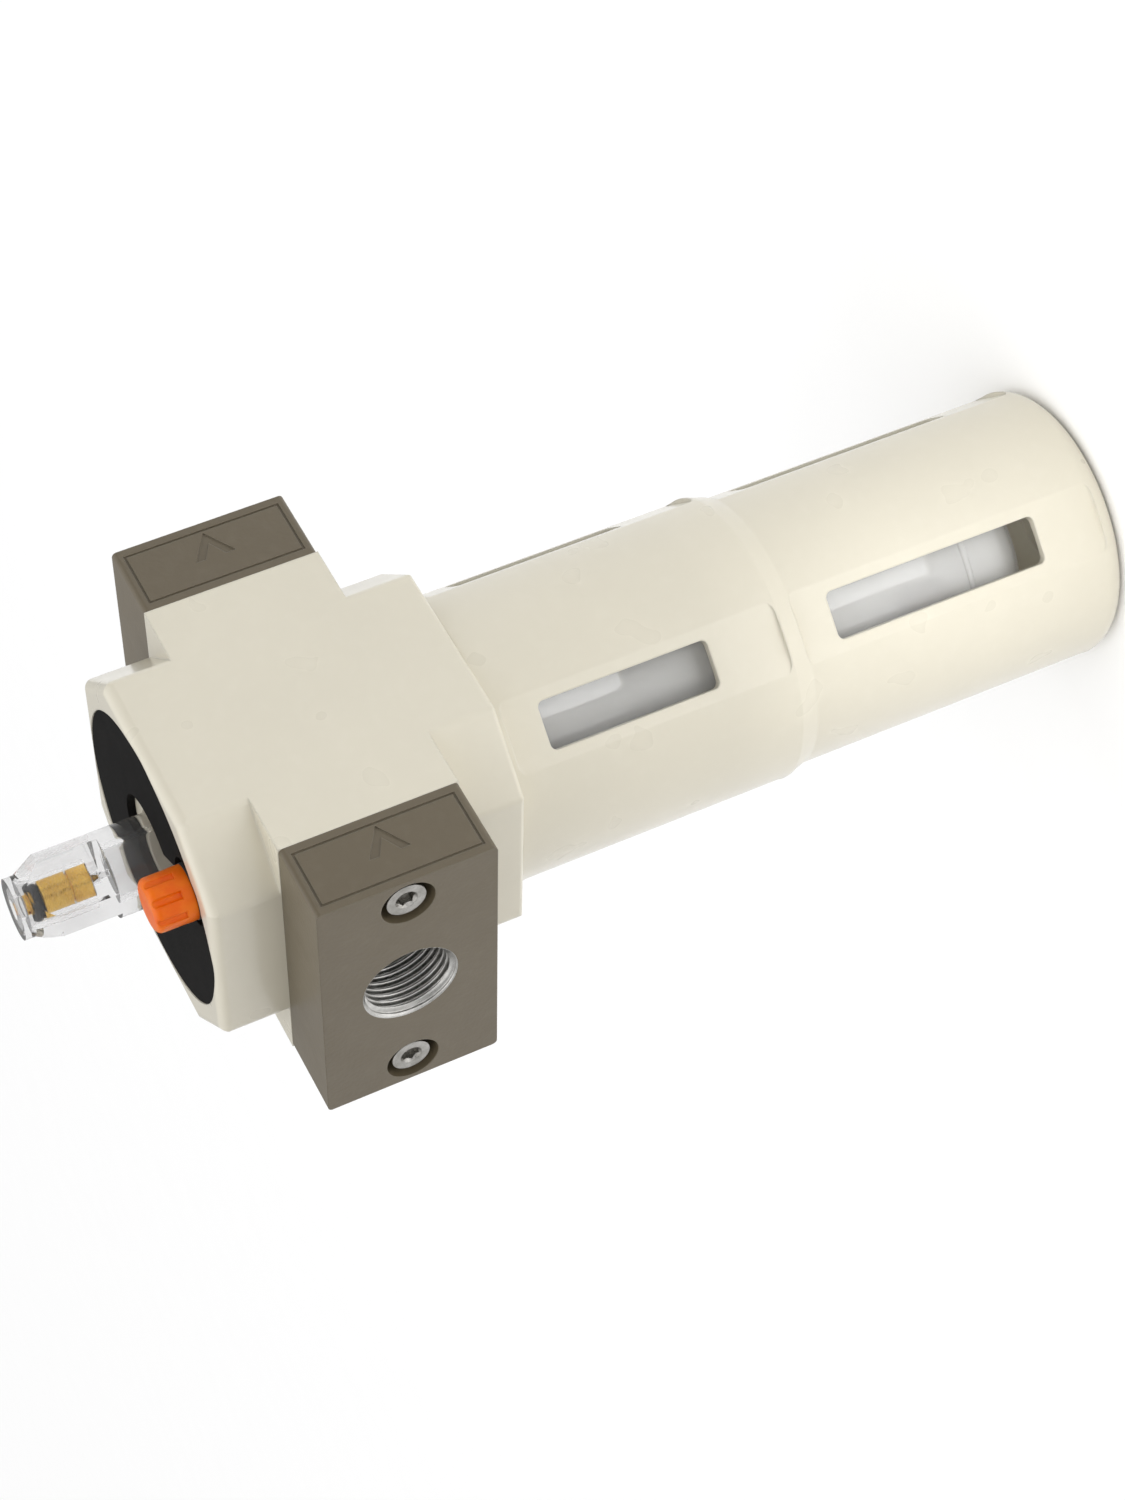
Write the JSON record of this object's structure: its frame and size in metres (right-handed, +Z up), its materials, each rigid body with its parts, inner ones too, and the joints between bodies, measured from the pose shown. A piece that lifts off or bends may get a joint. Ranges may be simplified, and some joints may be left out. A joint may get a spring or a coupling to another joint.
{
  "type": "compressed air line lubricator",
  "caption": "Air line lubricator: block with two threaded end plates, clear sight dome with metering screw, filler plug and a slotted guard round an oil bowl.",
  "frame": {"origin": "centre of the foot ring of the bowl guard, on the plane it stands on", "axes": "+X along the air flow from the inlet port to the outlet port, -Y towards the front with the flow arrows, +Z up along the bowl axis to the sight dome"},
  "size_m": [0.085, 0.056, 0.2037],
  "materials": {
    "cream_enamel": "satin",
    "taupe_paint": "satin",
    "screw_steel": "satin",
    "ball_steel": "polished",
    "seal_rubber": "matte",
    "black_plastic": "matte",
    "clear_plastic": "clear",
    "brass": "satin",
    "orange_plastic": "gloss",
    "sintered_bronze": "matte"
  },
  "bodies": {
    "block": {"housing": "cream_enamel", "inlet_plate": "taupe_paint", "outlet_plate": "taupe_paint", "plate_screws": "screw_steel", "inlet_plate_seal": "seal_rubber", "outlet_plate_seal": "seal_rubber", "top_disc": "black_plastic", "sight_dome": "clear_plastic", "dome_seal": "seal_rubber", "siphon_holder": "black_plastic", "siphon_tube": "clear_plastic", "siphon_filter": "sintered_bronze", "venturi_sleeve": "black_plastic", "vane_pin": "screw_steel", "valve_seat": "brass", "valve_spring": "ball_steel"},
    "screw_ring": {"metering_screw_seal": "seal_rubber"},
    "meter": {"metering_screw": "brass"},
    "plug_washer": {"filler_plug_seal": "seal_rubber"},
    "plug": {"filler_plug": "orange_plastic"},
    "oil_bowl": {"bowl": "clear_plastic", "bowl_seal": "seal_rubber"},
    "guard": {"bowl_guard": "cream_enamel"},
    "vane": {"flow_vane": "black_plastic"},
    "siphon_ball": {"siphon_check_ball": "ball_steel"},
    "air_ball": {"valve_ball": "ball_steel"}
  },
  "joints": [
    {"name": "metering_screw_turn", "type": "hinge", "parent": "screw_ring", "child": "meter", "pos_m": [0, 0, 0.1955], "axis": [0, 0, 1], "range_deg": [0, 360]},
    {"name": "metering_screw_rise", "type": "slide", "parent": "block", "child": "screw_ring", "axis": [0, 0, 1], "range_m": [0, 0.001]},
    {"name": "filler_plug_rise", "type": "slide", "parent": "block", "child": "plug_washer", "axis": [0, 0, 1], "range_m": [0, 0.006]},
    {"name": "filler_plug_turn", "type": "hinge", "parent": "plug_washer", "child": "plug", "pos_m": [-0.01811, -0.01249, 0.1805], "axis": [0, 0, 1], "range_deg": [0, 1440]},
    {"name": "bowl_drop", "type": "slide", "parent": "block", "child": "oil_bowl", "axis": [0, 0, 1], "range_m": [-0.13, 0]},
    {"name": "guard_turn", "type": "hinge", "parent": "oil_bowl", "child": "guard", "pos_m": [0, 0, 0.1205], "axis": [0, 0, 1], "range_deg": [-45, 0]},
    {"name": "vane_swing", "type": "hinge", "parent": "block", "child": "vane", "pos_m": [0.0062, 0, 0.1547], "axis": [0, -1, 0], "range_deg": [0, 50], "stiffness_Nm_per_rad": 0.0004, "springref_deg": -17.19},
    {"name": "siphon_ball_lift", "type": "slide", "parent": "block", "child": "siphon_ball", "axis": [0, 0, 1], "range_m": [0, 0.0015]},
    {"name": "air_ball_drop", "type": "slide", "parent": "block", "child": "air_ball", "axis": [0, 0, 1], "range_m": [-0.0008, 0], "stiffness_N_per_m": 40, "springref_m": 0.002, "deforming": ["valve_spring"]}
  ],
  "couplings": [
    {"joint": "metering_screw_turn", "follows": "metering_screw_rise", "rad_per_m": 6283.2},
    {"joint": "filler_plug_turn", "follows": "filler_plug_rise", "rad_per_m": 4188.8}
  ]
}
